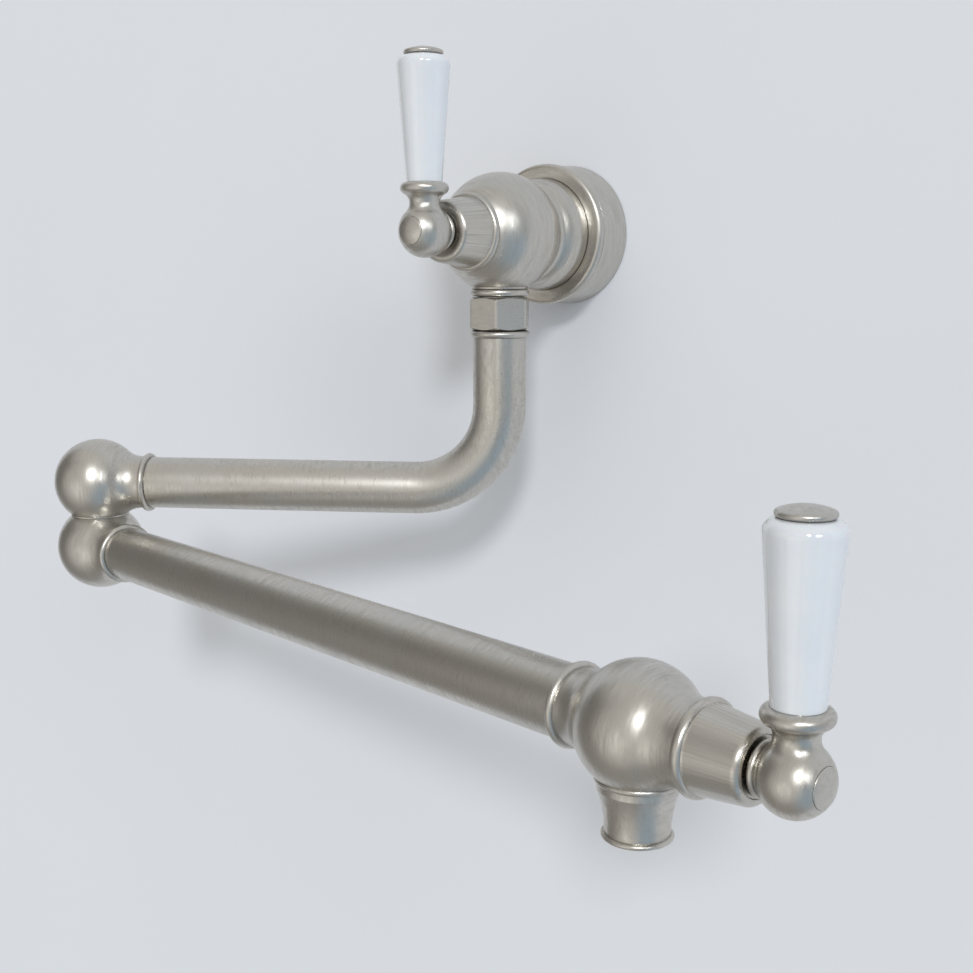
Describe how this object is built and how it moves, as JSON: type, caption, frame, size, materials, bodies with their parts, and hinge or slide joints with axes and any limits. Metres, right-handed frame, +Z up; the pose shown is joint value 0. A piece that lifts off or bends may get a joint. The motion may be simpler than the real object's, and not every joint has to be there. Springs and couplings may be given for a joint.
{
  "type": "wall mounted pot filler",
  "caption": "Wall mounted pot filler with two swinging arms on ball elbows, a quarter turn valve at the wall and one above the nozzle, and tapered porcelain levers.",
  "frame": {"origin": "centre of the flange's back face, on the wall", "axes": "+Y into the wall, +X to the right along the wall seen from the room, +Z up"},
  "size_m": [0.3846, 0.2161, 0.2337],
  "materials": {
    "nickel": "brushed satin nickel plate on brass",
    "porcelain": "glossy white glaze",
    "brass": "turned, plain",
    "steel": "plain stainless steel",
    "ceramic": "lapped white ceramic",
    "rubber": "black seal rubber",
    "plastic": "moulded, matt"
  },
  "bodies": {
    "wall_valve": {"wall_flange": "nickel", "flange_grub_screw": "steel", "wall_body": "nickel", "wall_seat_seal": "rubber", "wall_fixed_disc": "ceramic", "wall_cartridge": "brass", "wall_cartridge_ring": "rubber", "wall_bonnet": "nickel", "swivel_nut": "nickel"},
    "wall_lever": {"wall_moving_disc": "ceramic", "wall_spindle": "brass", "wall_spindle_ring": "rubber", "wall_spindle_clip": "steel", "wall_hub": "nickel", "wall_lever_screw": "steel", "wall_screw_cover": "nickel", "wall_tie_rod": "steel", "wall_handle": "porcelain", "wall_cap": "nickel"},
    "upper_arm": {"arm_spigot": "nickel", "spigot_rings": "rubber", "snap_ring": "steel", "upper_tube": "nickel", "upper_elbow": "nickel"},
    "lower_arm": {"elbow_spindle": "brass", "elbow_rings": "rubber", "elbow_clip": "steel", "elbow_washer": "nickel", "lower_elbow": "nickel", "lower_tube": "nickel", "end_body": "nickel", "stream_straightener": "plastic", "end_seat_seal": "rubber", "end_fixed_disc": "ceramic", "end_cartridge": "brass", "end_cartridge_ring": "rubber", "end_bonnet": "nickel"},
    "end_lever": {"end_moving_disc": "ceramic", "end_spindle": "brass", "end_spindle_ring": "rubber", "end_spindle_clip": "steel", "end_hub": "nickel", "end_lever_screw": "steel", "end_screw_cover": "nickel", "end_tie_rod": "steel", "end_handle": "porcelain", "end_cap": "nickel"}
  },
  "joints": [
    {"name": "wall_lever_hinge", "type": "hinge", "parent": "wall_valve", "child": "wall_lever", "pos_m": [0, -0.0507, 0], "axis": [0, -1, 0], "range_deg": [0, 90]},
    {"name": "upper_arm_hinge", "type": "hinge", "parent": "wall_valve", "child": "upper_arm", "pos_m": [0, -0.0507, 0], "axis": [0, 0, 1], "range_deg": [-30, 150]},
    {"name": "elbow_hinge", "type": "hinge", "parent": "upper_arm", "child": "lower_arm", "pos_m": [-0.15294, -0.139, -0.1205], "axis": [0, 0, 1], "continuous": true},
    {"name": "end_lever_hinge", "type": "hinge", "parent": "lower_arm", "child": "end_lever", "pos_m": [0.15429, -0.19672, -0.1348], "axis": [0.9828, -0.1846, 0], "range_deg": [0, 90]}
  ]
}
